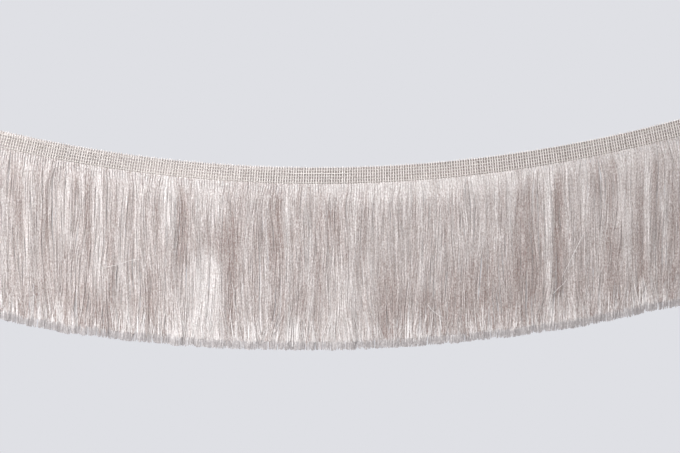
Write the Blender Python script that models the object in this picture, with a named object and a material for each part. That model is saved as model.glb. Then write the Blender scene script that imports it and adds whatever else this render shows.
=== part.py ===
"""Chainette fringe trim: a cut length of woven heading with a two-row skirt of yarn locks.

Metres, +Z up. +X runs along the trim and -Y is its face. The trim hangs in a shallow swag:
the heading follows a catenary, its ribs square to its edges, and the locks hang plumb from it.
The origin is the lowest point of the heading's top edge.
"""

import math
import random
from collections import namedtuple

import bmesh
import bpy

# Swag: catenary constants of the heading's top edge and of the skirt's hem, which hangs
# a little flatter and has its lowest point a little to the left
SWAG = 0.841
HEM_SWAG = 0.958
HEM_LOW_X = -0.008

# Heading: a woven tape with raised ribs on its face, whose ends scallop the top edge
RIB_PITCH = 0.00156
RIB_COUNT = 297
TAPE_LENGTH = RIB_PITCH * RIB_COUNT
TAPE_HEIGHT = 0.0110
TAPE_BACK_Y = 0.0009
TAPE_FACE_Y = -0.0009
RIB_RAISE = 0.0004
SCALLOP = 0.0005

# Skirt: two rows of locks, each fused at its roots into a strip just under the heading
GAP = 0.0003
STRIP_HEIGHT = 0.0020
STRIP_THICK = 0.00145
STRIP_SECTIONS = 24
REAR_STRIP_Y = TAPE_BACK_Y - STRIP_THICK
FRONT_STRIP_Y = REAR_STRIP_Y - GAP - STRIP_THICK
LOCKS_A_ROW = 148
LOCK_SECTIONS = 4
LOCK_INSET = 0.0001
LOCK_BITE = 0.0012
LOCK_END_MARGIN = 0.0018
REAR_SHIFT = RIB_PITCH
FRONT_DROP = 0.1070
REAR_DROP = 0.1120

Row = namedtuple("Row", "name outward strip_y shift drop")
ROWS = (
    Row("fringe_front", -1.0, FRONT_STRIP_Y, 0.0, FRONT_DROP),
    Row("fringe_rear", 1.0, REAR_STRIP_Y, REAR_SHIFT, REAR_DROP),
)

# Unevenness of the locks
WIDTHS = (0.0019, 0.0023)
SWELLS = (0.00016, 0.0008)
LEAN = 0.0009
LEAN_SPAN = 0.110
WAVE = 0.0007
WAVE_SPAN = 0.075
WAVE_TURNS = 0.6
UNEVEN_CUT = 0.0016
SEED = 7

HEADING_COLOUR = (0.604, 0.567, 0.521, 1.0)
SKIRT_COLOUR = (0.672, 0.604, 0.571, 1.0)
YARN_ROUGHNESS = 0.45


def clear_scene():
    """Removes every object, so that the script starts from nothing."""
    for obj in list(bpy.data.objects):
        bpy.data.objects.remove(obj, do_unlink=True)


def collection(name):
    """A new collection in the scene."""
    made = bpy.data.collections.new(name)
    bpy.context.scene.collection.children.link(made)
    return made


def yarn_material(name, colour):
    """A plain Principled yarn material."""
    material = bpy.data.materials.new(name)
    material.use_nodes = True
    shader = material.node_tree.nodes["Principled BSDF"]
    shader.inputs["Base Color"].default_value = colour
    shader.inputs["Roughness"].default_value = YARN_ROUGHNESS
    shader.inputs["Metallic"].default_value = 0.0
    return material


def top_edge(s):
    """Point (x, z) of the heading's top edge at arc length s, and its normal in the same plane."""
    x = SWAG * math.asinh(s / SWAG)
    z = math.hypot(SWAG, s) - SWAG
    steep = math.hypot(SWAG, s)
    return (x, z), (-s / steep, SWAG / steep)


def below_edge(s, depth):
    """Point (x, z) that lies depth below the top edge, square to it."""
    (x, z), (nx, nz) = top_edge(s)
    return x - nx * depth, z - nz * depth


def hem_height(x, drop):
    """Height of the hem at x, where it lies drop below the origin at its lowest point."""
    return HEM_SWAG * (math.cosh((x - HEM_LOW_X) / HEM_SWAG) - 1.0) - drop


def cut_across(bm, axis, sections):
    """Cuts a unit bar into equal sections along one of its axes."""
    long_edges = [
        e for e in bm.edges if abs(e.verts[0].co[axis] - e.verts[1].co[axis]) > 0.5
    ]
    bmesh.ops.subdivide_edges(bm, edges=long_edges, cuts=sections - 1, use_grid_fill=True)


def object_from(bm, name, owner, material):
    """Makes an object of the mesh, its faces turned outward."""
    bmesh.ops.recalc_face_normals(bm, faces=bm.faces)
    mesh = bpy.data.meshes.new(name)
    bm.to_mesh(mesh)
    bm.free()
    mesh.materials.append(material)
    obj = bpy.data.objects.new(name, mesh)
    owner.objects.link(obj)
    return obj


def swag_bar(name, owner, material, sections, place):
    """A bar along the swag. place(s, station, top, back) gives each corner of its sections."""
    bm = bmesh.new()
    bmesh.ops.create_cube(bm, size=1.0)
    cut_across(bm, 0, sections)
    for v in bm.verts:
        along = v.co.x + 0.5
        station = round(along * sections)
        s = (station / sections - 0.5) * TAPE_LENGTH
        v.co = place(s, station, v.co.z > 0, v.co.y > 0)
    return object_from(bm, name, owner, material)


def make_heading(owner, material):
    """The woven tape: a flat back, ribs raised across its face and scalloped at its top edge."""

    def place(s, station, top, back):
        on_rib = station % 2 == 1
        drop = TAPE_HEIGHT
        if top:
            drop = 0.0 if on_rib else SCALLOP
        x, z = below_edge(s, drop)
        y = TAPE_BACK_Y
        if not back:
            y = TAPE_FACE_Y if on_rib else TAPE_FACE_Y + RIB_RAISE
        return x, y, z

    return swag_bar("heading", owner, material, 2 * RIB_COUNT, place)


def drift(x, down):
    """Sideways drift of the skirt at x, alike for neighbours: a lean that grows, and a wave."""
    lean = LEAN * math.sin(math.tau * x / LEAN_SPAN) * down**1.5
    turn = x / WAVE_SPAN + WAVE_TURNS * down
    return lean + WAVE * math.sin(math.pi * down) * math.sin(math.tau * turn)


def unit_lock():
    """A three-sided bar one unit long, cut across into sections, as a mesh to copy."""
    bm = bmesh.new()
    bmesh.ops.create_cone(bm, cap_ends=True, segments=3, radius1=1.0, radius2=1.0, depth=1.0)
    cut_across(bm, 2, LOCK_SECTIONS)
    mesh = bpy.data.meshes.new("unit lock")
    bm.to_mesh(mesh)
    bm.free()
    return mesh


def make_locks(row, owner, material, rng):
    """The locks of one row: flat inside, ridged outside, uneven in width, length and swell."""
    unit = unit_lock()
    half_base = math.sqrt(3.0) / 2.0
    first = LOCK_END_MARGIN + row.shift - TAPE_LENGTH / 2.0
    pitch = (TAPE_LENGTH - 2.0 * LOCK_END_MARGIN - REAR_SHIFT) / (LOCKS_A_ROW - 1)
    root_depth = TAPE_HEIGHT + GAP + STRIP_HEIGHT - LOCK_BITE
    flat_y = row.strip_y + (LOCK_INSET if row.outward > 0 else STRIP_THICK - LOCK_INSET)
    ridge = STRIP_THICK - 2.0 * LOCK_INSET

    bm = bmesh.new()
    for i in range(LOCKS_A_ROW):
        root_x, root_z = below_edge(first + pitch * i, root_depth)
        tip_z = hem_height(root_x, row.drop) + rng.uniform(0.0, UNEVEN_CUT)
        width = rng.uniform(*WIDTHS)
        swell = rng.uniform(*SWELLS)
        phase = rng.uniform(0.0, math.pi)
        bm.from_mesh(unit)
        bm.verts.ensure_lookup_table()
        for v in bm.verts[-len(unit.vertices) :]:
            down = 0.5 - v.co.z
            sideways = v.co.x / half_base
            ridged = (v.co.y + 0.5) / 1.5
            away = swell * down * (1.0 + math.sin(math.pi * down + phase))
            v.co = (
                root_x + drift(root_x, down) + sideways * width / 2.0,
                flat_y + row.outward * (away + ridged * (ridge + swell * down)),
                root_z + (tip_z - root_z) * down,
            )
    locks = object_from(bm, f"{row.name} locks", owner, material)
    locks.hide_render = True
    locks.display_type = "WIRE"
    return locks


def make_fringe(row, owner, material, locks):
    """One row of the skirt: a narrow strip under the heading, joined to the locks it roots."""

    def place(s, station, top, back):
        x, z = below_edge(s, TAPE_HEIGHT + GAP + (0.0 if top else STRIP_HEIGHT))
        return x, row.strip_y + (STRIP_THICK if back else 0.0), z

    strip = swag_bar(row.name, owner, material, STRIP_SECTIONS, place)
    join = strip.modifiers.new("join locks", "BOOLEAN")
    join.operation = "UNION"
    join.solver = "EXACT"
    join.object = locks


def main():
    clear_scene()
    trim = collection("chainette fringe trim")
    cutters = collection("cutters")
    heading_yarn = yarn_material("heading yarn", HEADING_COLOUR)
    skirt_yarn = yarn_material("skirt yarn", SKIRT_COLOUR)
    rng = random.Random(SEED)

    make_heading(trim, heading_yarn)
    for row in ROWS:
        make_fringe(row, trim, skirt_yarn, make_locks(row, cutters, skirt_yarn, rng))


main()
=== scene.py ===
"""Dresses the chainette fringe trim: a ribbed woven heading and its skirt of silky strands.

Metres, +Z up. +X runs along the trim and -Y is its face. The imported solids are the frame, and
the origin is the lowest point of the heading's top edge.
"""

import math
from types import SimpleNamespace

import bpy
import numpy as np
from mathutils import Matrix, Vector


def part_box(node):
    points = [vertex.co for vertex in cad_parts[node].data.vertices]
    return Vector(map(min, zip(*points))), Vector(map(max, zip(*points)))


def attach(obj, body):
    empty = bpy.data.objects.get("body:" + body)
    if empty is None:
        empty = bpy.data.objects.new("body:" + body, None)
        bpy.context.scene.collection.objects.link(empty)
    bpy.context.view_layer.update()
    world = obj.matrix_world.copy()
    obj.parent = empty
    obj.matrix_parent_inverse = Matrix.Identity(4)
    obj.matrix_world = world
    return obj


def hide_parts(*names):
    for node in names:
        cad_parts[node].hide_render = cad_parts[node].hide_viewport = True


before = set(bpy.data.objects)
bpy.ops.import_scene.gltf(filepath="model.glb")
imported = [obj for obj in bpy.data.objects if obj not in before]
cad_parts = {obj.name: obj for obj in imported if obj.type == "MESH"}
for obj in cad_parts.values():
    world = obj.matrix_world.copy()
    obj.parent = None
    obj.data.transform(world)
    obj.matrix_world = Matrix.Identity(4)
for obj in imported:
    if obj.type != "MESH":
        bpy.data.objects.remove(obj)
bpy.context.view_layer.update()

bl_info = {
    "name": "Chainette fringe trim",
    "version": (1, 0, 0),
    "blender": (4, 5, 0),
    "location": "3D View > Sidebar > Fringe trim",
    "description": "Weaves the heading, hangs the two rows of the skirt and sets the studio",
    "category": "Object",
}

MM = 0.001
PHOTO_WIDTH_PX = 680
PHOTO_SCALE = 0.613 * MM
PHOTO_LOWEST_X_PX = 317
PHOTO_CENTRE_X_PX = 340
PHOTO_TOP_EDGE_PX = 166.5
PHOTO_CENTRE_Y_PX = 226.5


# Sizes and colours that a user would change


class HeadingSizes(bpy.types.PropertyGroup):
    """Sizes of the woven heading."""

    swag: bpy.props.FloatProperty(
        name="Swag",
        description="Catenary constant of the top edge: a larger one hangs flatter",
        default=0.841,
        min=0.2,
        subtype="DISTANCE",
    )
    rib_pitch: bpy.props.FloatProperty(
        name="Rib pitch",
        description="Distance from one rib to the next along the tape",
        default=1.56 * MM,
        precision=5,
        subtype="DISTANCE",
    )
    rib_count: bpy.props.IntProperty(
        name="Ribs",
        description="Turns of yarn laid across the tape",
        default=297,
        min=11,
    )
    height: bpy.props.FloatProperty(
        name="Height",
        description="Height of the woven tape, square to its edges",
        default=11.0 * MM,
        precision=4,
        subtype="DISTANCE",
    )
    rib_radius: bpy.props.FloatProperty(
        name="Rib radius",
        description="Half the width of a rib between two rows of binding",
        default=0.465 * MM,
        precision=5,
        subtype="DISTANCE",
    )
    row_top: bpy.props.FloatProperty(
        name="First row",
        description="Depth of the first binding row below the top edge",
        default=2.45 * MM,
        precision=4,
        subtype="DISTANCE",
    )
    row_pitch: bpy.props.FloatProperty(
        name="Row pitch",
        description="Distance from one binding row to the next",
        default=1.84 * MM,
        precision=4,
        subtype="DISTANCE",
    )
    row_count: bpy.props.IntProperty(
        name="Rows",
        description="Rows of thread that bind the ribs",
        default=5,
        min=1,
    )


class SkirtSizes(bpy.types.PropertyGroup):
    """Sizes of the skirt and of its strands."""

    hem_swag: bpy.props.FloatProperty(
        name="Hem swag",
        description="Catenary constant of the hem",
        default=0.958,
        min=0.2,
        subtype="DISTANCE",
    )
    hem_low_x: bpy.props.FloatProperty(
        name="Hem's lowest point",
        description="Where along the trim the hem hangs lowest",
        default=-8.0 * MM,
        subtype="DISTANCE",
    )
    front_drop: bpy.props.FloatProperty(
        name="Front drop",
        description="Depth of the front row's longest tips below the origin",
        default=107.9 * MM,
        precision=4,
        subtype="DISTANCE",
    )
    rear_drop: bpy.props.FloatProperty(
        name="Rear drop",
        description="Depth of the rear row's longest tips below the origin",
        default=112.8 * MM,
        precision=4,
        subtype="DISTANCE",
    )
    front_strands: bpy.props.IntProperty(
        name="Front strands",
        description="Strands in the front row",
        default=3900,
        min=10,
    )
    rear_strands: bpy.props.IntProperty(
        name="Rear strands",
        description="Strands in the rear row",
        default=2750,
        min=10,
    )
    strand_radius: bpy.props.FloatProperty(
        name="Strand radius",
        description="Half the width of one strand",
        default=0.24 * MM,
        precision=5,
        subtype="DISTANCE",
    )


class YarnFinish(bpy.types.PropertyGroup):
    """Colours and sheen of the yarns."""

    skirt_colour: bpy.props.FloatVectorProperty(
        name="Skirt yarn",
        description="Colour of the silky skirt yarn",
        default=(0.85, 0.823, 0.814, 1.0),
        size=4,
        min=0.0,
        max=1.0,
        subtype="COLOR",
    )
    rear_colour: bpy.props.FloatVectorProperty(
        name="Rear skirt yarn",
        description="Colour of the rear row's yarn",
        default=(0.85, 0.812, 0.80, 1.0),
        size=4,
        min=0.0,
        max=1.0,
        subtype="COLOR",
    )
    heading_colour: bpy.props.FloatVectorProperty(
        name="Heading yarn",
        description="Colour of the heading's rib yarn",
        default=(0.905, 0.85, 0.828, 1.0),
        size=4,
        min=0.0,
        max=1.0,
        subtype="COLOR",
    )
    binding_colour: bpy.props.FloatVectorProperty(
        name="Binding thread",
        description="Colour of the fine thread that binds the ribs",
        default=(0.86, 0.82, 0.785, 1.0),
        size=4,
        min=0.0,
        max=1.0,
        subtype="COLOR",
    )
    roughness: bpy.props.FloatProperty(
        name="Roughness",
        description="Roughness of the silky yarn",
        default=0.38,
        min=0.05,
        max=1.0,
        subtype="FACTOR",
    )


class StudioSizes(bpy.types.PropertyGroup):
    """Camera, lights and backdrop."""

    lens: bpy.props.FloatProperty(
        name="Lens",
        description="Focal length of the camera, in millimetres",
        default=85.0,
        min=20.0,
    )
    key_power: bpy.props.FloatProperty(
        name="Key light",
        description="Power of the overhead front light",
        default=4.2,
        unit="POWER",
    )
    left_power: bpy.props.FloatProperty(
        name="Left light",
        description="Power of the soft light at the left",
        default=3.0,
        unit="POWER",
    )
    back_power: bpy.props.FloatProperty(
        name="Back light",
        description="Power of the wide light behind the trim",
        default=19.0,
        unit="POWER",
    )
    backdrop: bpy.props.FloatVectorProperty(
        name="Backdrop",
        description="Colour of the plain backdrop",
        default=(0.738, 0.745, 0.783),
        size=3,
        min=0.0,
        max=1.0,
        subtype="COLOR",
    )


class TrimSettings(bpy.types.PropertyGroup):
    """All settings of the trim."""

    heading: bpy.props.PointerProperty(name="Heading", type=HeadingSizes)
    skirt: bpy.props.PointerProperty(name="Skirt", type=SkirtSizes)
    finish: bpy.props.PointerProperty(name="Finish", type=YarnFinish)
    studio: bpy.props.PointerProperty(name="Studio", type=StudioSizes)


def settings():
    """The scene's own settings for the trim."""
    return bpy.context.scene.fringe_trim


# Where things lie along the swag

# The skirt's drift, as in its solids: a lean to the side and a wave, and their spans on the trim
LEAN = 0.9 * MM
LEAN_SPAN = 0.110
WAVE = 0.7 * MM
WAVE_SPAN = 0.075
WAVE_TURNS = 0.6


def tape_length():
    """Length of the heading along its top edge."""
    heading = settings().heading
    return heading.rib_pitch * heading.rib_count


def below_edge(s, depth):
    """Points at arc length s and a depth below the top edge, square to it, with the normal."""
    swag = settings().heading.swag
    s, depth = np.broadcast_arrays(np.asarray(s, float), depth)
    steep = np.hypot(swag, s)
    nx, nz = -s / steep, swag / steep
    x = swag * np.arcsinh(s / swag) - nx * depth
    z = steep - swag - nz * depth
    return x, z, nx, nz


def hem_height(x, drop):
    """Height of the hem at x, where it lies drop below the origin at its lowest point."""
    skirt = settings().skirt
    return skirt.hem_swag * (np.cosh((x - skirt.hem_low_x) / skirt.hem_swag) - 1.0) - drop


def drift(x, down):
    """Sideways drift of the skirt at x, alike for neighbours: a lean that grows, and a wave."""
    lean = LEAN * np.sin(math.tau * x / LEAN_SPAN) * down**1.5
    turn = x / WAVE_SPAN + WAVE_TURNS * down
    return lean + WAVE * np.sin(math.pi * down) * np.sin(math.tau * turn)


def eased(low, high, value):
    """Rises smoothly from 0 at low to 1 at high."""
    share = np.clip((value - low) / (high - low), 0.0, 1.0)
    return share * share * (3.0 - 2.0 * share)


# Yarn as joined tubes


def tubes(name, centres, side_a, side_b, sides, turn, tone, start=0.0, flat_sides=False):
    """One mesh of closed tubes along rows of centres. side_a and side_b reach to its skin, and
    side_a x side_b points along the row. The map's U goes round a tube, and its V runs along it
    in metres from start. The rims of its ends are sharp, and so are its long edges where it has
    flat sides."""
    rows, steps = centres.shape[:2]
    angle = math.tau * np.arange(sides) / sides + turn[:, None]
    cosine = np.cos(angle)[:, None, :, None]
    sine = np.sin(angle)[:, None, :, None]
    skin = centres[:, :, None, :] + cosine * side_a[:, :, None, :] + sine * side_b[:, :, None, :]

    index = np.arange(rows * steps * sides).reshape(rows, steps, sides)
    turned = np.roll(index, -1, axis=2)
    walls = np.stack([index[:, :-1], turned[:, :-1], turned[:, 1:], index[:, 1:]], axis=-1)
    ends = np.concatenate([index[:, 0, ::-1], index[:, -1]])
    faces = walls.reshape(-1, 4).tolist() + ends.tolist()

    mesh = bpy.data.meshes.new(name)
    mesh.from_pydata(skin.reshape(-1, 3).tolist(), [], faces)

    length = np.linalg.norm(np.diff(centres, axis=1), axis=2)
    along = np.concatenate([np.zeros((rows, 1)), np.cumsum(length, axis=1)], axis=1)
    along = along + np.broadcast_to(start, rows)[:, None]
    round_low = np.broadcast_to(np.arange(sides) / sides, (rows, steps - 1, sides))
    round_high = round_low + 1.0 / sides
    near = np.broadcast_to(along[:, :-1, None], round_low.shape)
    far = np.broadcast_to(along[:, 1:, None], round_low.shape)
    wall_map = np.stack(
        [round_low, near, round_high, near, round_high, far, round_low, far], axis=-1
    )
    end_map = np.zeros((2 * rows, sides, 2))
    end_map[:rows, :, 1] = along[:, :1]
    end_map[rows:, :, 1] = along[:, -1:]
    uv = mesh.uv_layers.new(name="Yarn")
    uv.data.foreach_set("uv", np.concatenate([wall_map.ravel(), end_map.ravel()]))

    layer = mesh.attributes.new("tone", "FLOAT", "POINT")
    layer.data.foreach_set("value", np.repeat(tone.ravel(), sides).astype(np.float32))
    mesh.shade_smooth()

    pairs = np.empty(2 * len(mesh.edges), dtype=int)
    mesh.edges.foreach_get("vertices", pairs)
    low, high = pairs[0::2], pairs[1::2]
    step = low // sides % steps
    sharp = (low // sides == high // sides) & ((step == 0) | (step == steps - 1))
    if flat_sides:
        sharp |= np.abs(low - high) == sides
    layer = mesh.attributes.new("sharp_edge", "BOOLEAN", "EDGE")
    layer.data.foreach_set("value", sharp)
    obj = bpy.data.objects.new(name, mesh)
    bpy.context.scene.collection.objects.link(obj)
    return obj


def hand_in(obj, material, node):
    """Gives a finished piece its material and its body, and hides the solid it stands for."""
    obj.data.materials.append(material)
    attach(obj, "root")
    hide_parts(node)


# Finishes

# Flecks of a yarn for each metre across, out of and down the skirt
FLECKS_A_METRE = (1500.0, 1500.0, 800.0)


def new_group(name, inputs, outputs):
    """A new node group, with what its nodes read and what they feed. Sockets are given with
    their defaults, and are colours where a default isn't a single number."""
    tree = bpy.data.node_groups.new(name, "ShaderNodeTree")
    for way, sockets in (("INPUT", inputs), ("OUTPUT", outputs)):
        for label, default in sockets.items():
            kind = "NodeSocketFloat" if isinstance(default, float) else "NodeSocketColor"
            socket = tree.interface.new_socket(name=label, in_out=way, socket_type=kind)
            socket.default_value = default
    entry = tree.nodes.new("NodeGroupInput").outputs
    out = tree.nodes.new("NodeGroupOutput").inputs
    return tree, entry, out


def computed(tree, operation, *values):
    """Output of a new Math node. Each value is a number, or an output that the node reads."""
    node = tree.nodes.new("ShaderNodeMath")
    node.operation = operation
    for socket, value in zip(node.inputs, values):
        if isinstance(value, float):
            socket.default_value = value
        else:
            tree.links.new(value, socket)
    return node.outputs[0]


def yarn_tone_group():
    """Colour and roughness of a yarn: each strand its own tone, which also carries painted light
    and shade, with fine flecks along it.
    """
    old = bpy.data.node_groups.get("Yarn tone")
    if old:
        return old
    pale, shaded = (0.8, 0.75, 0.7, 1.0), (0.4, 0.35, 0.3, 1.0)
    tree, entry, out = new_group(
        "Yarn tone",
        inputs={"Colour": pale, "Shade": shaded, "Fleck": 0.1, "Roughness": 0.4},
        outputs={"Colour": pale, "Roughness": 0.4},
    )
    nodes, links = tree.nodes, tree.links
    tone = nodes.new("ShaderNodeAttribute")
    tone.attribute_name = "tone"

    place = nodes.new("ShaderNodeTexCoord")
    stretch = nodes.new("ShaderNodeMapping")
    stretch.inputs["Scale"].default_value = FLECKS_A_METRE
    noise = nodes.new("ShaderNodeTexNoise")
    noise.inputs["Scale"].default_value = 1.0
    noise.inputs["Detail"].default_value = 2.0
    links.new(place.outputs["Object"], stretch.inputs["Vector"])
    links.new(stretch.outputs["Vector"], noise.inputs["Vector"])
    # The flecks are partly uneven colour and partly painted glints of the yarn's filaments
    centred = computed(tree, "SUBTRACT", noise.outputs["Fac"], 0.5)
    fleck = computed(tree, "MULTIPLY", centred, entry["Fleck"])

    share = computed(tree, "ADD", fleck, tone.outputs["Fac"])
    share.node.use_clamp = True
    blend = nodes.new("ShaderNodeMix")
    blend.data_type = "RGBA"
    links.new(share, blend.inputs["Factor"])
    links.new(entry["Shade"], blend.inputs["A"])
    links.new(entry["Colour"], blend.inputs["B"])
    links.new(blend.outputs["Result"], out["Colour"])
    sheen = computed(tree, "MULTIPLY_ADD", fleck, -0.2, entry["Roughness"])
    links.new(sheen, out["Roughness"])
    return tree


def chain_relief_group():
    """Height of the small chain loops along a yarn, read from its own map."""
    old = bpy.data.node_groups.get("Chain relief")
    if old:
        return old
    tree, entry, out = new_group(
        "Chain relief", inputs={"Pitch": 0.0012, "Crimp": 2.0}, outputs={"Height": 0.0}
    )
    nodes, links = tree.nodes, tree.links
    chart = nodes.new("ShaderNodeUVMap")
    chart.uv_map = "Yarn"
    parts = nodes.new("ShaderNodeSeparateXYZ")
    links.new(chart.outputs["UV"], parts.inputs["Vector"])
    turns = computed(tree, "DIVIDE", parts.outputs["Y"], entry["Pitch"])
    slant = computed(tree, "ADD", turns, parts.outputs["X"])
    loops = computed(tree, "SINE", computed(tree, "MULTIPLY", slant, math.tau))
    crimp = nodes.new("ShaderNodeTexNoise")
    crimp.noise_dimensions = "1D"
    crimp.inputs["Scale"].default_value = 1.0
    crimp.inputs["Detail"].default_value = 1.0
    links.new(turns, crimp.inputs["W"])
    height = computed(tree, "MULTIPLY_ADD", crimp.outputs["Fac"], entry["Crimp"], loops)
    links.new(height, out["Height"])
    return tree


def yarn_material(name, colour, shade, roughness, fleck, pitch, relief):
    """A silky yarn, made once: its tone, which also carries painted light and shade, flecks that are
    partly painted glints, and chain relief on a soft sheen.
    """
    old = bpy.data.materials.get(name)
    if old:
        return old
    material = bpy.data.materials.new(name)
    material.use_nodes = True
    nodes, links = material.node_tree.nodes, material.node_tree.links
    shader = nodes["Principled BSDF"]
    shader.inputs["Sheen Weight"].default_value = 0.25
    shader.inputs["Sheen Roughness"].default_value = 0.4
    shader.inputs["Specular IOR Level"].default_value = 0.9

    tone = nodes.new("ShaderNodeGroup")
    tone.node_tree = yarn_tone_group()
    tone.inputs["Colour"].default_value = colour
    tone.inputs["Shade"].default_value = shade
    tone.inputs["Fleck"].default_value = fleck
    tone.inputs["Roughness"].default_value = roughness
    links.new(tone.outputs["Colour"], shader.inputs["Base Color"])
    links.new(tone.outputs["Roughness"], shader.inputs["Roughness"])

    chain = nodes.new("ShaderNodeGroup")
    chain.node_tree = chain_relief_group()
    chain.inputs["Pitch"].default_value = pitch
    bump = nodes.new("ShaderNodeBump")
    bump.inputs["Distance"].default_value = relief
    bump.inputs["Strength"].default_value = 1.0
    links.new(chain.outputs["Height"], bump.inputs["Height"])
    links.new(bump.outputs["Normal"], shader.inputs["Normal"])
    return material


def shade_of(colour, share, green, blue):
    """A yarn's shaded tone: a share of its colour, with its green and blue lowered further."""
    return (colour[0] * share, colour[1] * share * green, colour[2] * share * blue, 1.0)


def heading_material():
    """The ribs and the cloth of the heading."""
    finish = settings().finish
    return yarn_material(
        "heading rib yarn",
        finish.heading_colour,
        shade=shade_of(finish.heading_colour, 0.315, 0.80, 0.72),
        roughness=finish.roughness + 0.08,
        fleck=0.5,
        pitch=0.7 * MM,
        relief=0.08 * MM,
    )


def binding_material():
    """The thread that binds the ribs."""
    finish = settings().finish
    return yarn_material(
        "heading binding thread",
        finish.binding_colour,
        shade=shade_of(finish.binding_colour, 0.6, 0.95, 0.92),
        roughness=finish.roughness + 0.1,
        fleck=0.3,
        pitch=0.5 * MM,
        relief=0.03 * MM,
    )


def skirt_material():
    """The front row's yarn."""
    finish = settings().finish
    return yarn_material(
        "skirt silky yarn",
        finish.skirt_colour,
        shade=shade_of(finish.skirt_colour, 0.346, 0.775, 0.716),
        roughness=finish.roughness,
        fleck=1.70,
        pitch=1.3 * MM,
        relief=0.06 * MM,
    )


def rear_skirt_material():
    """The rear row's yarn, whose shaded tone is greyer, for the painted shade on its cut ends."""
    finish = settings().finish
    return yarn_material(
        "rear skirt silky yarn",
        finish.rear_colour,
        shade=shade_of(finish.rear_colour, 0.41, 0.965, 0.99),
        roughness=finish.roughness + 0.1,
        fleck=1.6,
        pitch=1.3 * MM,
        relief=0.06 * MM,
    )


# The heading

# Where the centres of its layers lie, from its face to its back
BINDING_Y = -0.56 * MM
RIB_Y = -0.40 * MM
CLOTH_Y = 0.10 * MM
BACK_RIB_Y = 0.42 * MM
BACK_BINDING_Y = 0.72 * MM

# The cloth's rows of points below the top edge
CLOTH_DEPTHS = np.array([0.9, 2.0, 3.4, 5.2, 7.1, 9.0, 10.9]) * MM
CLOTH_THICKNESS = 0.4 * MM
# How much shorter than the tape cloth and binding are, so that they end on the outermost ribs
CLOTH_SHORTER = 0.4 * MM
BINDING_SHORTER = 0.3 * MM
# How far ribs lean along the tape, and binding rows step up and down, as shares of depth and pitch
RIB_LEAN = 0.04
ROW_STEP = 0.12
# The bend in which a rib turns back over the top edge: its depths, and how far back it goes there
BEND_DEPTHS = np.array([0.33, 0.12, 0.05]) * MM
BEND_BACK = np.array([0.05, 0.28, 0.55]) * MM
# Middle and half length of the paler laid-in thread
LAID_MIDDLE = 1.0 * MM
LAID_HALF = 19.0 * MM


def row_depths():
    """Depths of the binding rows below the top edge."""
    heading = settings().heading
    return heading.row_top + heading.row_pitch * np.arange(heading.row_count)


def in_cloth_plane(centres):
    """Side vectors for tubes that lie in the heading's plane, from rows of their centres."""
    along = np.gradient(centres, axis=1)
    along /= np.linalg.norm(along, axis=2, keepdims=True)
    depthwise = np.zeros_like(centres)
    depthwise[..., 1] = 1.0
    return np.cross(depthwise, along), depthwise


def lay_yarns(name, centres, wide, deep, sides, turn, tone, material):
    """Lays yarns as a piece of the heading. wide and deep are how far they reach from their
    centres in its plane and out of it, and turn is where the first side of a yarn starts."""
    across, depthwise = in_cloth_plane(centres)
    yarns = tubes(
        name,
        centres,
        across * wide,
        depthwise * deep,
        sides,
        np.full(len(centres), turn),
        np.clip(tone, 0.0, 1.0),
    )
    hand_in(yarns, material, "heading")


class FRINGE_OT_heading_cloth(bpy.types.Operator):
    """Lays the thin woven cloth that the ribs and binding rows lie on."""

    bl_idname = "fringe.heading_cloth"
    bl_label = "Lay heading cloth"

    def execute(self, context):
        heading = settings().heading
        _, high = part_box("heading")
        end_x, _, _, _ = below_edge(tape_length() / 2.0, heading.height)
        if abs(end_x - high.x) > 1.0 * MM:
            raise RuntimeError("the heading's length and swag don't fit its solid")

        columns = 2 * heading.rib_count
        bpy.ops.object.select_all(action="DESELECT")
        bpy.ops.mesh.primitive_grid_add(
            x_subdivisions=columns, y_subdivisions=len(CLOTH_DEPTHS) - 1, size=1.0
        )
        cloth = context.object
        cloth.name = cloth.data.name = "heading_cloth"
        cloth.data.uv_layers[0].name = "Yarn"
        for v in cloth.data.vertices:
            s = v.co.x * (tape_length() - CLOTH_SHORTER)
            row = round((0.5 - v.co.y) * (len(CLOTH_DEPTHS) - 1))
            station = round((v.co.x + 0.5) * columns)
            x, z, _, _ = below_edge(s, CLOTH_DEPTHS[row])
            ripple = 0.05 * MM * math.sin(math.pi * (station + row))
            v.co = (float(x), CLOTH_Y + ripple, float(z))

        wall = cloth.modifiers.new("thickness", "SOLIDIFY")
        wall.thickness = CLOTH_THICKNESS
        wall.offset = 0.0
        bpy.ops.object.modifier_apply(modifier=wall.name)

        # Painted shade: the cloth's low tone stands for the shade in the gaps between the ribs. It is
        # darker from left to right where less light falls, and pale behind the open loops of the top
        # edge
        spot = np.empty(3 * len(cloth.data.vertices))
        cloth.data.vertices.foreach_get("co", spot)
        x, z = spot[0::3], spot[2::3]
        depth = heading.swag * (np.cosh(x / heading.swag) - 1.0) - z
        open_loops = (1.0 - eased(10.0 * MM, 22.0 * MM, x)) * (1.0 - eased(2.6 * MM, 3.6 * MM, depth))
        tone = 0.72 - 0.53 * eased(-0.16, 0.12, x) + 0.20 * open_loops
        layer = cloth.data.attributes.new("tone", "FLOAT", "POINT")
        layer.data.foreach_set("value", np.clip(tone, 0.0, 1.0).astype(np.float32))
        hand_in(cloth, heading_material(), "heading")
        return {"FINISHED"}


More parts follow.
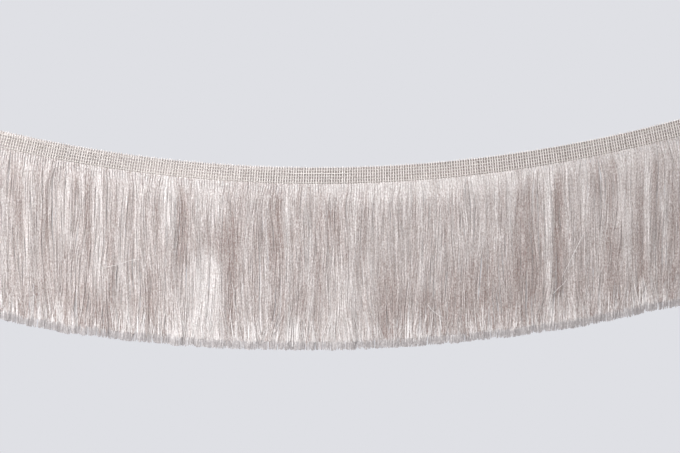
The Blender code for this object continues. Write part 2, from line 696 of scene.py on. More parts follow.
class FRINGE_OT_ribs(bpy.types.Operator):
    """Lays the ribs up the face, each turned back over the top edge in a small bend."""

    bl_idname = "fringe.ribs"
    bl_label = "Lay ribs"

    def execute(self, context):
        heading = settings().heading
        rng = np.random.default_rng(11)
        rows = row_depths()
        between = rows[:-1] + heading.row_pitch / 2.0
        others = np.array([0.7 * MM, 1.6 * MM, heading.height + 0.4 * MM])
        straight = np.sort(np.concatenate([rows, between, others]))[::-1]
        depth = np.concatenate([straight, BEND_DEPTHS])
        back = np.concatenate([np.zeros(len(straight)), BEND_BACK])
        on_row = np.array([np.min(np.abs(rows - d)) < 0.1 * MM for d in depth])
        halfway = np.array([np.min(np.abs(between - d)) < 0.1 * MM for d in depth])

        # Uneven spacing, a lean, and a sway from one side to the other between the rows
        count = heading.rib_count
        number = np.arange(count)[:, None]
        side = 1.0 - 2.0 * (number % 2)
        s = (number + 0.5) * heading.rib_pitch - tape_length() / 2.0
        s = s + rng.normal(0.0, 0.06 * MM, (count, 1))
        s = s + rng.normal(0.0, 0.035 * MM, (count, len(depth))) - RIB_LEAN * depth
        order = np.round((depth - rows[0]) / heading.row_pitch)
        s = s + 0.06 * MM * halfway * side * (1.0 - 2.0 * (order % 2))

        # The rows step up and down from rib to rib, and both ends of the ribs are uneven
        stepped = ROW_STEP * heading.row_pitch * side * ((depth > 2.0 * MM) & (depth < 10.8 * MM))
        depth = depth + stepped + rng.normal(0.0, 0.14 * MM, (count, 1)) * (depth < 1.0 * MM)
        depth[:, 0] += np.random.default_rng(12).uniform(-0.25, 0.75, count) * MM
        x, z, _, _ = below_edge(s, depth)
        y = RIB_Y + rng.normal(0.0, 0.05 * MM, (count, 1)) + 0.10 * MM * on_row
        y = y - 0.06 * MM * halfway + rng.normal(0.0, 0.03 * MM, (count, len(on_row))) + back
        centres = np.stack([x, y, z], axis=-1)

        # Drawn in under the binding
        swell = np.where(on_row, 0.84, np.where(halfway, 1.0, 0.86))
        radius = heading.rib_radius * swell * rng.uniform(0.90, 1.06, (count, 1))
        radius = (radius * rng.uniform(0.95, 1.05, (count, len(swell))))[..., None]
        tone = 0.90 + rng.normal(0.0, 0.06, (count, 1))
        # Painted shade: darker where the binding crosses a rib, over the left half where the key
        # light falls strongest, and a little at the right end
        tone = tone + rng.normal(0.0, 0.13, radius.shape[:2]) - 0.24 * on_row
        tone = tone - 0.22 * (1.0 - eased(-0.18, 0.00, x)) - 0.03 * eased(0.10, 0.16, x)
        lay_yarns(
            "heading_ribs",
            centres,
            wide=radius,
            deep=radius * 0.85,
            sides=6,
            turn=math.pi / 6.0,
            tone=tone,
            material=heading_material(),
        )
        return {"FINISHED"}


class FRINGE_OT_back_ribs(bpy.types.Operator):
    """Lays the plain flat ribs of the heading's back."""

    bl_idname = "fringe.back_ribs"
    bl_label = "Lay back ribs"

    def execute(self, context):
        heading = settings().heading
        rng = np.random.default_rng(13)
        count = heading.rib_count
        depth = np.array([0.7, 3.4, 6.1, 8.8, 11.2]) * MM
        s = (np.arange(count)[:, None] + 0.5) * heading.rib_pitch - tape_length() / 2.0
        s = s + rng.normal(0.0, 0.05 * MM, (count, len(depth)))
        x, z, _, _ = below_edge(s, depth + rng.normal(0.0, 0.08 * MM, (count, 1)))
        centres = np.stack([x, BACK_RIB_Y + 0.0 * x, z], axis=-1)
        lay_yarns(
            "heading_back_ribs",
            centres,
            wide=heading.rib_radius * 1.15,
            deep=heading.rib_radius * 0.75,
            sides=6,
            turn=math.pi / 6.0,
            tone=0.78 + rng.normal(0.0, 0.06, (count, 1)) + 0.0 * depth,
            material=heading_material(),
        )
        return {"FINISHED"}


def thread_row(depths, steps, middle, lift, zigzag, rng):
    """Centres of threads along the heading, and how far on a rib each point is, from -1 to 1.
    middle is where they lie on average, lift how much further out they stand on a rib, and
    zigzag how far they step down and up from one rib to the next."""
    heading = settings().heading
    s = np.linspace(-0.5, 0.5, steps) * (tape_length() - BINDING_SHORTER)
    turns = s / heading.rib_pitch + heading.rib_count / 2.0
    on_rib = -np.cos(math.tau * turns)
    knots = np.linspace(s[0], s[-1], 90)
    uneven = np.stack([np.interp(s, knots, rng.normal(0.0, 0.06 * MM, 90)) for _ in depths])
    depth = depths[:, None] + uneven + zigzag * np.sin(math.pi * turns)
    x, z, _, _ = below_edge(s[None, :] - RIB_LEAN * depths[:, None], depth)
    return np.stack([x, middle + lift * on_rib + 0.0 * x, z], axis=-1), on_rib + 0.0 * x


class FRINGE_OT_binding(bpy.types.Operator):
    """Runs the binding rows over the ribs, with a paler laid-in thread on part of the second."""

    bl_idname = "fringe.binding"
    bl_label = "Bind ribs"

    def execute(self, context):
        heading = settings().heading
        rng = np.random.default_rng(12)
        rows = row_depths()
        steps = 4 * heading.rib_count + 1
        x = np.linspace(-0.5, 0.5, steps) * tape_length()
        second = (np.arange(len(rows)) == 1)[:, None]
        laid = np.exp(-(((x - LAID_MIDDLE) / LAID_HALF) ** 8)) * second
        faint = eased(60.0 * MM, 80.0 * MM, x) * second
        zigzag = ROW_STEP * heading.row_pitch * (1.0 - laid)
        centres, on_rib = thread_row(rows, steps, BINDING_Y, -0.20 * MM, zigzag, rng)
        centres[..., 1] -= (0.30 * laid + 0.10 * faint) * (1.0 - on_rib) * 0.5 * MM
        centres[..., 1] -= 0.14 * laid * MM
        tone = 0.80 + 0.26 * laid
        tone = tone + rng.normal(0.0, 0.08, centres.shape[:2])
        radius = (0.18 + 0.07 * laid + 0.03 * faint)[..., None] * MM
        lay_yarns(
            "heading_binding",
            centres,
            wide=radius * 1.35,
            deep=radius * 0.9,
            sides=5,
            turn=0.0,
            tone=tone,
            material=binding_material(),
        )

        # Every second row shows on the back
        steps = 2 * heading.rib_count + 1
        centres, _ = thread_row(rows[::2], steps, BACK_BINDING_Y, 0.12 * MM, 0.0, rng)
        lay_yarns(
            "heading_back_binding",
            centres,
            wide=0.26 * MM,
            deep=0.16 * MM,
            sides=4,
            turn=0.0,
            tone=np.full(centres.shape[:2], 0.85),
            material=binding_material(),
        )
        return {"FINISHED"}


# The skirt

# The two rows. outward is 1 where strands leave in front of the heading's middle, -1 behind it.
# Roots are gathered at the feet of the ribs by the share gathered. Tips are drawn together by pull
# and spread singly by splay, in mm, the share astray more. The share longer hangs below the cut,
# which is uneven by ragged, and the row is cut short_left higher at its far left. thickness and
# tip are shares of the strands' radius. down holds a strand's points, as shares of its length.
FRONT_ROW = SimpleNamespace(
    piece="fringe_front_row",
    node="fringe_front",
    parts=3,
    seed=200,
    outward=1.0,
    gathered=1.0,
    pull=1.25,
    splay=0.5,
    astray=0.22,
    longer=0.10,
    ragged=1.6 * MM,
    short_left=1.8 * MM,
    thickness=1.0,
    tip=0.85,
    down=np.concatenate(
        [[0.0, 0.012, 0.03, 0.055, 0.09], np.linspace(0.135, 0.93, 15), [0.975, 1.0]]
    ),
)
REAR_ROW = SimpleNamespace(
    piece="fringe_rear_row",
    node="fringe_rear",
    parts=2,
    seed=300,
    outward=-1.0,
    gathered=0.3,
    pull=0.15,
    splay=0.3,
    astray=0.0,
    longer=0.0,
    ragged=1.7 * MM,
    short_left=0.8 * MM,
    thickness=1.35,
    tip=0.75,
    down=np.concatenate(
        [[0.0, 0.02, 0.06], np.linspace(0.12, 0.91, 11), [0.94, 0.953, 0.972, 1.0]]
    ),
)

# The skirt in the photo, in its pixels: the column that lies at x = 0, and the shallow curves of
# the strands' roots and of the front tips, each with its lowest point and its bend
PHOTO_MIDDLE_X = 317
ROOTS_LOW_X, ROOTS_LOW_Y, ROOTS_BEND = 317, 184.7, 3.645e-4
TIPS_LOW_X, TIPS_LOW_Y, TIPS_BEND = 304, 341.5, 3.199e-4


def fold_seen(x, width, top, bottom, out, painted_shine):
    """A row of FOLDS from where the photo shows a fold: its column, width, top and bottom in
    pixels. It is rounded, because a fold can't be read more closely."""
    roots = ROOTS_LOW_Y - ROOTS_BEND * (x - ROOTS_LOW_X) ** 2
    tips = TIPS_LOW_Y - TIPS_BEND * (x - TIPS_LOW_X) ** 2
    return (
        round((x - PHOTO_MIDDLE_X) * PHOTO_SCALE / MM),
        round(width * PHOTO_SCALE / MM, 1),
        round((top - roots) / (tips - roots), 2),
        round((bottom - roots) / (tips - roots), 2),
        out,
        painted_shine,
    )


# Main folds: place along the trim in mm, width in mm, where down the skirt each begins and ends
# as shares, how far it stands forward in mm, and how light it looks beside its neighbours. Those
# of fold_seen were read from an enlargement of the photo, and the others set one by one.
# The wide ones at the end are painted changes of light over a whole stretch. How light a fold
# looks is painted into the yarn's tone: painted light above 0, painted shade below it.
FOLDS = (
    fold_seen(4, 8, 190, 310, 1.4, 0.14),
    fold_seen(20, 6, 195, 235, -0.6, -0.12),
    fold_seen(30, 7, 168, 250, 1.2, 0.14),
    fold_seen(46, 7, 200, 280, -0.5, -0.09),
    fold_seen(65, 12, 172, 236, 1.4, 0.14),
    fold_seen(88, 5, 166, 250, -0.7, -0.16),
    fold_seen(99, 11, 195, 285, 1.0, 0.10),
    fold_seen(112, 6, 245, 332, -0.9, -0.16),
    fold_seen(121, 6, 200, 310, 0.8, 0.09),
    fold_seen(132, 5, 205, 300, -0.4, -0.08),
    fold_seen(153, 11, 270, 338, -1.0, -0.20),
    fold_seen(156, 6, 190, 240, -0.6, -0.12),
    fold_seen(168, 10, 176, 226, 2.6, 0.30),
    fold_seen(176, 8, 296, 340, 2.2, 0.20),
    fold_seen(184, 9, 190, 262, -1.2, -0.24),
    fold_seen(196, 8, 180, 240, 0.6, 0.07),
    (-68, 16.5, 0.47, 1.01, 3.4, 0.34),
    fold_seen(216, 5, 176, 214, 1.2, 0.18),
    fold_seen(229, 11, 215, 325, -1.1, -0.18),
    fold_seen(246, 7, 230, 330, 0.6, 0.07),
    fold_seen(257, 5, 190, 300, -0.3, -0.06),
    fold_seen(266, 6, 250, 325, 0.9, 0.10),
    fold_seen(275, 9, 184, 262, -1.1, -0.20),
    fold_seen(277, 7, 282, 334, -0.8, -0.14),
    fold_seen(287, 5, 200, 305, 0.9, 0.12),
    fold_seen(300, 8, 285, 336, -0.9, -0.15),
    fold_seen(304, 4, 188, 280, 0.7, 0.09),
    fold_seen(311, 4, 230, 342, 1.4, 0.16),
    fold_seen(318, 5, 190, 325, -0.6, -0.12),
    fold_seen(332, 9, 204, 234, -0.9, -0.20),
    fold_seen(346, 20, 272, 342, 2.6, 0.18),
    fold_seen(352, 14, 212, 245, 0.8, 0.08),
    fold_seen(360, 6, 245, 320, -0.5, -0.10),
    fold_seen(371, 8, 248, 335, 1.0, 0.09),
    fold_seen(389, 20, 262, 336, -1.2, -0.18),
    fold_seen(422, 5, 256, 286, 0.9, 0.14),
    fold_seen(427, 12, 288, 324, -0.8, -0.14),
    fold_seen(430, 170, 176, 194, 1.0, 0.15),
    fold_seen(438, 8, 195, 252, 0.8, 0.08),
    fold_seen(465, 5, 190, 260, 0.6, 0.07),
    fold_seen(474, 46, 262, 326, -1.2, -0.13),
    fold_seen(511, 6, 186, 255, 1.2, 0.12),
    fold_seen(526, 22, 195, 326, -1.5, -0.16),
    fold_seen(548, 7, 176, 330, 2.0, 0.22),
    fold_seen(557, 8, 180, 286, -1.3, -0.22),
    (156, 3.7, 0.50, 0.88, 0.7, 0.11),
    (164, 3.2, 0.05, 0.40, 0.6, 0.11),
    (167, 3.0, 0.50, 0.82, 0.5, 0.09),
    (172, 3.0, 0.00, 0.25, -0.6, -0.14),
    fold_seen(598, 5, 200, 300, 0.7, 0.07),
    (179, 3.0, 0.05, 0.34, -0.7, -0.17),
    fold_seen(611, 10, 225, 295, -0.9, -0.14),
    (186, 3.4, 0.06, 0.45, 0.6, 0.11),
    (190, 3.1, 0.35, 0.76, 0.8, 0.16),
    fold_seen(640, 8, 185, 300, -1.0, -0.15),
    (202, 2.6, 0.02, 0.62, 1.3, 0.20),
    (207, 2.8, 0.12, 0.50, -0.7, -0.16),
    (210, 3.0, 0.50, 0.86, -0.7, -0.14),
    (213, 2.8, 0.25, 0.72, 0.8, 0.13),
    fold_seen(676, 8, 190, 270, -0.9, -0.16),
    (-35, 60.0, 0.28, 0.90, -0.3, -0.07),
    (-66, 40.0, 0.30, 0.60, 0.0, -0.07),
    (12, 90.0, 0.04, 0.34, 0.0, -0.03),
    (-120, 60.0, 0.76, 1.30, 0.0, -0.11),
    (-20, 44.0, 0.90, 1.30, 0.0, 0.08),
    (64, 50.0, 0.72, 0.96, -0.4, -0.12),
    (118, 60.0, 0.40, 0.94, -0.4, -0.03),
    (156, 104.0, 0.50, 0.93, -0.3, -0.07),
    (-178, 80.0, 0.02, 0.96, 0.0, -0.06),
    (-172, 90.0, 0.80, 1.30, 0.0, -0.13),
    (174, 100.0, 0.78, 1.30, 0.0, -0.10),
    (66, 80.0, 0.86, 1.30, 0.0, -0.02),
)


def fold_relief(x, down):
    """How far forward the main folds stand, and their painted light and shade, at x and a share
    down.
    A fold that stands forward leans out from its top to its bottom and then falls back."""
    forward = np.zeros(np.broadcast(x, down).shape)
    light = np.zeros_like(forward)
    for at, width, begins, ends, out, painted_shine in FOLDS:
        near = np.exp(-0.5 * np.abs((x - at * MM) / (0.52 * width * MM)) ** 3)
        near = near * eased(begins - 0.10, begins + 0.10, down)
        # Painted light and shade of each fold, a little weaker from the middle of the skirt down
        painted_glow = painted_shine * (1.4 - 0.25 * eased(0.58, 0.72, down))
        light += near * painted_glow * (1.0 - eased(ends - 0.05, ends + 0.14, down))
        rise = eased(begins - 0.05, ends + 0.05, down) if out > 0 else 1.0
        forward += near * rise * out * MM * (1.0 - eased(ends, ends + 0.5, down))
    return forward, light


def spline_weights(share):
    """Weights of four evenly spaced values on a smooth curve, at a share between the middle two."""
    return (
        (1.0 - share) ** 3 / 6.0,
        (3.0 * share**3 - 6.0 * share**2 + 4.0) / 6.0,
        (-3.0 * share**3 + 3.0 * share**2 + 3.0 * share + 1.0) / 6.0,
        share**3 / 6.0,
    )


def random_sway(seed, cell, cells_down):
    """A smooth random field over the skirt, near 1 in spread: sway(x, down), alike for
    neighbours that lie less than a cell apart."""
    reach = 0.26
    columns = int(2.0 * reach / cell) + 5
    values = np.random.default_rng(seed).normal(0.0, 2.0, (columns, cells_down + 5))

    def sway(x, down):
        across, along = (x + reach) / cell, down * cells_down + 0.0 * x
        i, j = np.floor(across).astype(int), np.floor(along).astype(int)
        weights_i, weights_j = spline_weights(across - i), spline_weights(along - j)
        total = 0.0
        for a in range(4):
            for b in range(4):
                total = total + weights_i[a] * weights_j[b] * values[i + a, j + b]
        return total

    return sway


def wander(rng, rows, down, cells):
    """A smooth random line down each strand, with a spread near 1."""
    values = rng.normal(0.0, 1.4, (rows, cells + 6))
    along = down * cells + rng.random((rows, 1))
    j = np.floor(along).astype(int)
    weights = spline_weights(along - j)
    row = np.arange(rows)[:, None]
    return sum(weights[b] * values[row, j + b] for b in range(4))


def root_places(rng, count, gather):
    """Arc lengths at which strands leave the heading, gathered at the feet of its ribs by a
    share, and how far each then has to go sideways to hang evenly spaced."""
    heading = settings().heading
    even = (np.arange(count) + rng.uniform(0.0, 1.0, count)) / count * heading.rib_count
    rib = np.clip(np.floor(even), 0, heading.rib_count - 1) + 0.5
    foot = rib + rng.normal(0.0, 0.13, count)
    start = gather * foot + (1.0 - gather) * even
    reach = tape_length() / 2.0 - 0.5 * MM
    s = np.clip(start * heading.rib_pitch - tape_length() / 2.0, -reach, reach)
    return s, (even - start) * heading.rib_pitch


class HangingRow:
    """Works out the strands of a row, from their roots in the heading to their cut tips."""

    def __init__(self, form, count, drop):
        self.form, self.count, self.down = form, count, form.down[None, :]
        self.rng = np.random.default_rng(form.seed)
        s, spread = root_places(self.rng, count, form.gathered)
        root = settings().heading.height + self.rng.uniform(-0.45, 0.20, count) * MM
        x, z, nx, nz = below_edge(s, root)
        self.root_x, self.root_z, self.slope = x[:, None], z[:, None], (nx / nz)[:, None]
        self.spread = spread[:, None]
        self.reach = self.root_z - hem_height(self.root_x, drop)
        self.fallen = self.reach * self.down
        self.freed = eased(0.0, 0.16, self.down)

    def sway(self, seed, cell, cells_down):
        """A smooth random field at every point of the strands."""
        return random_sway(seed, cell, cells_down)(self.root_x, self.down)

    def lock_sway(self, seed, cell):
        """A smooth random field that has one value for each strand."""
        return random_sway(seed, cell, 1)(self.root_x, np.ones((1, 1)))

    def chance(self, share=None):
        """A random number for each strand, or whether it is one of a share of them."""
        drawn = self.rng.random((self.count, 1))
        return drawn if share is None else drawn < share

    def centres_and_tone(self):
        """Centres and tone of all strands of the row."""
        x, astray, forward, light = self.across()
        y, painted_tip_light = self.outward(forward, astray)
        z, longer = self.fall()
        if self.form is FRONT_ROW:
            tone = self.front_tone_with_painted_light(light, painted_tip_light, astray, longer)
        else:
            tone = self.rear_tone_with_painted_light_and_shade(light)
        return np.stack([x, y, z], axis=-1), tone

    def across(self):
        """Places along the trim, which strands go astray, and how the folds stand and their painted
        light and shade.
        """
        seed, down = self.form.seed, self.down
        # They leave square to the slanting edge and bend until they hang plumb
        bend = 3.0 * MM
        square_off = -self.slope * bend * (1.0 - np.exp(-self.fallen / bend))
        sideways = (
            1.2 * self.sway(1, 7.0 * MM, 2)
            + 0.60 * self.sway(seed + 2, 2.8 * MM, 5)
            + 0.20 * self.sway(seed + 3, 1.1 * MM, 12)
            + 0.24 * wander(self.rng, self.count, down, 9)
        )
        tufts = self.form.pull * self.lock_sway(seed + 4, 1.9 * MM) * eased(0.76, 1.0, down)
        astray = self.chance(self.form.astray)
        splay = self.rng.normal(0.0, self.form.splay, (self.count, 1)) * (1.0 + 4.2 * astray)
        splay = splay * eased(0.76, 1.03, down) ** 1.3
        x = self.root_x + square_off + drift(self.root_x, down)
        x = x + self.spread * eased(0.0, 0.09, down) + sideways * self.freed * MM
        forward, light = fold_relief(x, down)
        return x + (tufts + splay) * MM, astray, forward, light

    def outward(self, forward, astray):
        """Places out of the heading's plane, and the painted highlights on the tips."""
        down = self.down
        # Folds of locks, pressed flat where they would reach behind the heading, in mm
        layer = self.chance()
        depth = 0.4 + 0.45 * (0.4 + 0.8 * down) * self.sway(5, 4.5 * MM, 2)
        depth = depth + 0.32 * self.sway(6, 2.0 * MM, 6) * self.freed + forward / MM
        depth = 0.5 * (depth + np.sqrt(depth**2 + 0.2))
        loose = 0.38 * wander(self.rng, self.count, down, 10) * self.freed
        flare = np.clip(1.7 + 0.8 * self.lock_sway(7, 4.0 * MM), 0.4, 4.2)
        painted_tip_light = 0.0
        if self.form is FRONT_ROW:
            depth = depth + 0.2 + 0.8 * layer + loose + flare * eased(0.66, 1.16, down)
            depth = depth + 0.3 * self.chance() * eased(0.82, 1.0, down)
            # Painted highlights on the tips of some tufts, which also stand a little further out
            begins = self.rng.normal(0.83, 0.04, (self.count, 1))
            in_tufts = 0.35 + 0.9 * self.lock_sway(self.form.seed + 9, 2.4 * MM)
            in_tufts = np.clip(in_tufts, 0.0, 1.1)
            painted_tip_light = in_tufts * (0.18 + 1.1 * self.chance(0.18)) * eased(begins, begins + 0.12, down)
            depth = depth + 0.4 * painted_tip_light + 0.4 * astray * eased(0.76, 0.95, down)
        else:
            loose = loose * (1.0 - 0.7 * eased(0.85, 0.95, down))
            depth = (0.85 + 0.13 * eased(0.75, 0.95, down)) * depth - 0.1 - 0.8 * layer + loose
            depth = depth + flare * eased(0.62, 1.06, down) + 0.9 * eased(0.75, 0.95, down)
            depth = depth + 0.4 * eased(0.935, 0.965, down)
        # They leave near the heading's plane and stand out as they fall
        out = 1.0 - np.exp(-self.fallen / (2.6 * MM))
        root_depth = self.rng.uniform(0.15, 0.5, (self.count, 1)) * self.form.outward
        return (-0.34 - root_depth * (1.0 - out) - depth * out) * MM, painted_tip_light

    def fall(self):
        """Heights down to the uneven cut, and how far some strands hang below it."""
        short = 0.35 * MM * np.abs(self.lock_sway(8, 2.5 * MM))
        cut = short + self.form.ragged * self.chance() ** 1.7
        cut = cut + self.form.short_left * (1.0 - eased(-0.196, -0.178, self.root_x))
        longer = self.chance(self.form.longer) * self.chance()
        return self.root_z - (self.reach - cut + 3.2 * MM * longer) * self.down, longer

    def own_tone_and_painted_root_light(self):
        """Tone of each strand beside the others: its own, and that of its lock, with a painted
        highlight near its root.
        """
        down = self.down
        tone = self.rng.normal(0.0, 0.05, (self.count, 1))
        tone = tone + 0.10 * wander(self.rng, self.count, down, 15)
        by_lock = self.sway(self.form.seed + 12, 1.5 * MM, 3)
        tone = tone + 0.09 * by_lock * (1.0 - 0.7 * eased(0.10, 0.40, down))
        # Painted highlight just below the heading, where the strands lean out towards the light
        return tone + 0.10 * (1.0 - eased(0.03, 0.17, down))

    def front_tone_with_painted_light(self, light, painted_tip_light, astray, longer):
        """Tone of the front row, a little darker towards its tips, with the painted light and shade
        of its folds, painted highlights on its tips and painted shade on the ends of its longer
        strands.
        """
        down = self.down
        tone = self.own_tone_and_painted_root_light() + 0.585 - 0.08 * eased(0.76, 0.95, down)
        # Painted shade on the ends of the longer strands, down among the shaded cut ends, then the
        # painted light and shade of the folds and painted highlights on the tips and the strands
        # astray
        tone = tone - 0.4 * longer * eased(0.93, 0.97, down)
        tone = 0.73 * np.clip(tone + light, 0.0, 1.0) + 0.60 * painted_tip_light
        return tone + 0.20 * astray * eased(0.76, 0.90, down)

    def rear_tone_with_painted_light_and_shade(self, light):
        """Tone of the rear row: pale above its cut ends, as painted light against the shadow of the
        front tips, and grey on them as painted shade.
        """
        down = self.down
        tone = self.own_tone_and_painted_root_light() * (1.0 - 0.6 * eased(0.88, 0.94, down))
        # Painted light where the front tips shade the row, painted shade that greys the cut ends,
        # lifted a little at the very ends and near 55 mm, and the painted light and shade of the
        # folds
        tone = tone + 0.64 + 0.24 * eased(0.88, 0.94, down) - 0.82 * eased(0.940, 0.965, down)
        tone = tone + 0.06 * eased(0.975, 1.0, down)
        paler = np.exp(-(((self.root_x - 55.0 * MM) / (60.0 * MM)) ** 2))
        tone = tone + 0.07 * paler * eased(0.94, 0.965, down)
        return tone + light * (1.0 - 0.75 * eased(0.92, 0.95, down))


def strand_tubes(name, rng, centres, tone, radius, tip):
    """Three-sided strands of uneven thickness. tip is the share of it that their tips keep."""
    count, steps = centres.shape[:2]
    thick = radius * rng.uniform(0.8, 1.2, (count, 1)) * np.ones((1, steps))
    thick[:, -1] *= tip
    side_a = np.zeros_like(centres)
    side_b = np.zeros_like(centres)
    side_a[..., 0] = thick
    side_b[..., 1] = -thick
    turn = math.pi / 6.0 + rng.normal(0.0, 0.25, count)
    start = rng.uniform(0.0, 0.05, count)
    tone = np.clip(tone, 0.0, 1.0)
    return tubes(name, centres, side_a, side_b, 3, turn, tone, start, flat_sides=True)


def hang_row(form, count, drop, material):
    """Makes one row of the skirt as a few pieces side by side."""
    centres, tone = HangingRow(form, count, drop).centres_and_tone()
    radius = settings().skirt.strand_radius * form.thickness
    rng = np.random.default_rng(31)
    edges = np.linspace(0, count, form.parts + 1).astype(int)
    for index in range(form.parts):
        part = slice(edges[index], edges[index + 1])
        name = f"{form.piece}_{index + 1}"
        piece = strand_tubes(name, rng, centres[part], tone[part], radius, form.tip)
        hand_in(piece, material, form.node)


class FRINGE_OT_front_row(bpy.types.Operator):
    """Hangs the front row of the skirt in uneven locks with flared tips."""

    bl_idname = "fringe.front_row"
    bl_label = "Hang front row"

    def execute(self, context):
        skirt = settings().skirt
        hang_row(FRONT_ROW, skirt.front_strands, skirt.front_drop, skirt_material())
        return {"FINISHED"}


class FRINGE_OT_rear_row(bpy.types.Operator):
    """Hangs the rear row, which ends lower than the front one."""

    bl_idname = "fringe.rear_row"
    bl_label = "Hang rear row"

    def execute(self, context):
        skirt = settings().skirt
        hang_row(REAR_ROW, skirt.rear_strands, skirt.rear_drop, rear_skirt_material())
        return {"FINISHED"}


# Fine loose hairs that lie over the skirt, each as points along the trim and up, in mm
LOOSE_HAIRS = (
    ((-128.0, -61.4), (-122.0, -60.2), (-116.0, -58.2), (-109.7, -56.6)),
    ((67.4, -84.2), (70.6, -88.2), (73.8, -90.6), (76.6, -92.2)),
    ((163.0, -40.7), (159.0, -48.5), (154.0, -58.5), (149.6, -67.6)),
    ((144.0, -78.0), (147.4, -74.2), (150.6, -71.6), (152.4, -69.0)),
    ((-52.0, -70.5), (-50.6, -76.0), (-50.9, -82.0), (-49.6, -87.5)),
)
HAIR_RADIUS = 0.15 * MM
HAIR_TONE = 1.5
HAIR_Y = -4.6 * MM
HAIR_RISE = 0.6 * MM


class FRINGE_OT_loose_hairs(bpy.types.Operator):
    """Lays a few fine loose hairs slantwise over the front of the skirt."""

    bl_idname = "fringe.loose_hairs"
    bl_label = "Lay loose hairs"

    def execute(self, context):
        points = np.array(LOOSE_HAIRS) * MM
        share = np.linspace(0.0, 1.0, 10)
        knots = np.linspace(0.0, 1.0, points.shape[1])
        x = np.stack([np.interp(share, knots, hair[:, 0]) for hair in points])
        z = np.stack([np.interp(share, knots, hair[:, 1]) for hair in points])
        y = HAIR_Y - HAIR_RISE * np.sin(math.pi * share) + 0.0 * x
        centres = np.stack([x, y, z], axis=-1)
        across, depthwise = in_cloth_plane(centres)
        hairs = tubes(
            "fringe_loose_hairs",
            centres,
            across * HAIR_RADIUS,
            depthwise * HAIR_RADIUS,
            5,
            np.zeros(len(points)),
            np.full(x.shape, HAIR_TONE),
        )
        hand_in(hairs, skirt_material(), "fringe_front")
        return {"FINISHED"}


# The stage

FLOOR_RADIUS = 2.0
FLOOR_HEIGHT = -0.55
# Share of its own colour that the floor gives off to the camera, which brings it near the backdrop
FLOOR_LIFT = 0.13
AMBIENT_COLOUR = (0.78, 0.755, 0.745, 1.0)
AMBIENT_STRENGTH = 0.55
SKIRT_MIDDLE_Z = -0.06


class FRINGE_OT_studio(bpy.types.Operator):
    """Sets the camera square to the trim's face, soft lights, a pale floor and backdrop."""

    bl_idname = "fringe.studio"
    bl_label = "Set studio"

    def execute(self, context):
        studio = settings().studio
        context.scene.view_settings.view_transform = "Standard"
        set_camera(context.scene, studio.lens)

        key = soft_light("key light", (-0.32, -1.22, 0.62), -0.22, 0.8, studio.key_power)
        key.data.spread = math.radians(78.0)
        soft_light("left light", (-0.75, -0.65, 0.15), -0.05, 0.5, studio.left_power)
        soft_light("back light", (0.3, 1.2, 0.8), 0.0, 1.2, studio.back_power)
        lay_floor(context, (*studio.backdrop, 1.0))
        set_backdrop(context.scene, (*studio.backdrop, 1.0))
        return {"FINISHED"}


def set_camera(scene, focal_length):
    """A level camera square to the trim, before the photo's middle and as far off as takes in
    the photo's width."""
    lens = bpy.data.cameras.new("camera")
    lens.lens = focal_length
    lens.clip_start = 0.05
    camera = bpy.data.objects.new("camera", lens)
    scene.collection.objects.link(camera)
    scene.camera = camera
    frame_width = PHOTO_WIDTH_PX * PHOTO_SCALE
    camera.location = (
        (PHOTO_CENTRE_X_PX - PHOTO_LOWEST_X_PX) * PHOTO_SCALE,
        -frame_width * lens.lens / lens.sensor_width,
        (PHOTO_TOP_EDGE_PX - PHOTO_CENTRE_Y_PX) * PHOTO_SCALE,
    )
    camera.rotation_euler = (math.pi / 2.0, 0.0, 0.0)


def lay_floor(context, colour):
    """A round pale floor, well below the trim."""
    bpy.ops.object.select_all(action="DESELECT")
    bpy.ops.mesh.primitive_circle_add(
        vertices=96, radius=FLOOR_RADIUS, fill_type="NGON", location=(0.0, 0.0, FLOOR_HEIGHT)
    )
    floor = context.object
    floor.name = floor.data.name = "floor"
    paint = bpy.data.materials.new("pale floor")
    paint.use_nodes = True
    shader = paint.node_tree.nodes["Principled BSDF"]
    shader.inputs["Base Color"].default_value = colour
    shader.inputs["Roughness"].default_value = 0.8
    shader.inputs["Emission Color"].default_value = colour
    seen = paint.node_tree.nodes.new("ShaderNodeLightPath")
    lift = computed(paint.node_tree, "MULTIPLY", seen.outputs["Is Camera Ray"], FLOOR_LIFT)
    paint.node_tree.links.new(lift, shader.inputs["Emission Strength"])
    floor.data.materials.append(paint)


def set_backdrop(scene, colour):
    """A plain backdrop for the camera, and a warmer, dimmer light all round for the trim."""
    world = bpy.data.worlds.new("plain backdrop")
    scene.world = world
    world.use_nodes = True
    nodes, links = world.node_tree.nodes, world.node_tree.links
    shown = nodes["Background"]
    shown.inputs["Color"].default_value = colour
    ambient = nodes.new("ShaderNodeBackground")
    ambient.inputs["Color"].default_value = AMBIENT_COLOUR
    ambient.inputs["Strength"].default_value = AMBIENT_STRENGTH
    rays = nodes.new("ShaderNodeLightPath")
    mix = nodes.new("ShaderNodeMixShader")
    links.new(rays.outputs["Is Camera Ray"], mix.inputs["Fac"])
    links.new(ambient.outputs[0], mix.inputs[1])
    links.new(shown.outputs[0], mix.inputs[2])
    links.new(mix.outputs[0], nodes["World Output"].inputs["Surface"])


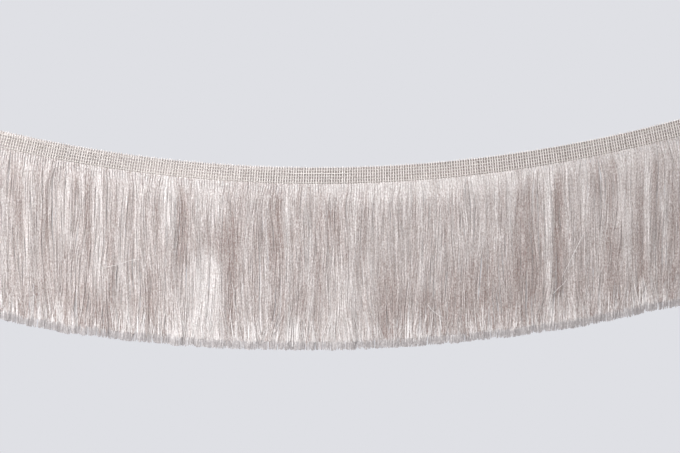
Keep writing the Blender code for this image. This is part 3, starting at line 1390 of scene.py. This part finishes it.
def soft_light(name, place, target_x, size, power):
    """A square area light that faces the middle of the skirt at target_x."""
    data = bpy.data.lights.new(name, "AREA")
    data.size = size
    data.energy = power
    light = bpy.data.objects.new(name, data)
    light.location = place
    aim = Vector((target_x, 0.0, SKIRT_MIDDLE_Z)) - Vector(place)
    light.rotation_euler = aim.to_track_quat("-Z", "Y").to_euler()
    bpy.context.scene.collection.objects.link(light)
    return light


class FRINGE_PT_panel(bpy.types.Panel):
    """Lists the steps of the trim in the sidebar."""

    bl_idname = "FRINGE_PT_panel"
    bl_label = "Fringe trim"
    bl_space_type = "VIEW_3D"
    bl_region_type = "UI"
    bl_category = "Fringe trim"

    def draw(self, context):
        layout = self.layout
        for step in STEPS:
            layout.operator(step.bl_idname)


STEPS = (
    FRINGE_OT_heading_cloth,
    FRINGE_OT_ribs,
    FRINGE_OT_back_ribs,
    FRINGE_OT_binding,
    FRINGE_OT_front_row,
    FRINGE_OT_rear_row,
    FRINGE_OT_loose_hairs,
    FRINGE_OT_studio,
)
GROUPS = (HeadingSizes, SkirtSizes, YarnFinish, StudioSizes, TrimSettings)


def register():
    """Adds the settings, the steps and the panel."""
    for part in (*GROUPS, *STEPS, FRINGE_PT_panel):
        bpy.utils.register_class(part)
    bpy.types.Scene.fringe_trim = bpy.props.PointerProperty(type=TrimSettings)


def unregister():
    """Takes them away again."""
    del bpy.types.Scene.fringe_trim
    for part in reversed((*GROUPS, *STEPS, FRINGE_PT_panel)):
        bpy.utils.unregister_class(part)


def declare_cloth():
    """Lists the pieces that lie on the heading or hang from it."""
    laid_on = ["heading_ribs", "heading_back_ribs", "heading_binding", "heading_back_binding"]
    laid_on += ["fringe_loose_hairs"]
    for row in (FRONT_ROW, REAR_ROW):
        laid_on += [f"{row.piece}_{index + 1}" for index in range(row.parts)]


def main():
    """Builds the whole trim and its studio."""
    register()
    bpy.ops.fringe.heading_cloth()
    bpy.ops.fringe.ribs()
    bpy.ops.fringe.back_ribs()
    bpy.ops.fringe.binding()
    bpy.ops.fringe.front_row()
    bpy.ops.fringe.rear_row()
    bpy.ops.fringe.loose_hairs()
    bpy.ops.fringe.studio()
    declare_cloth()


if __name__ == "__main__":
    main()
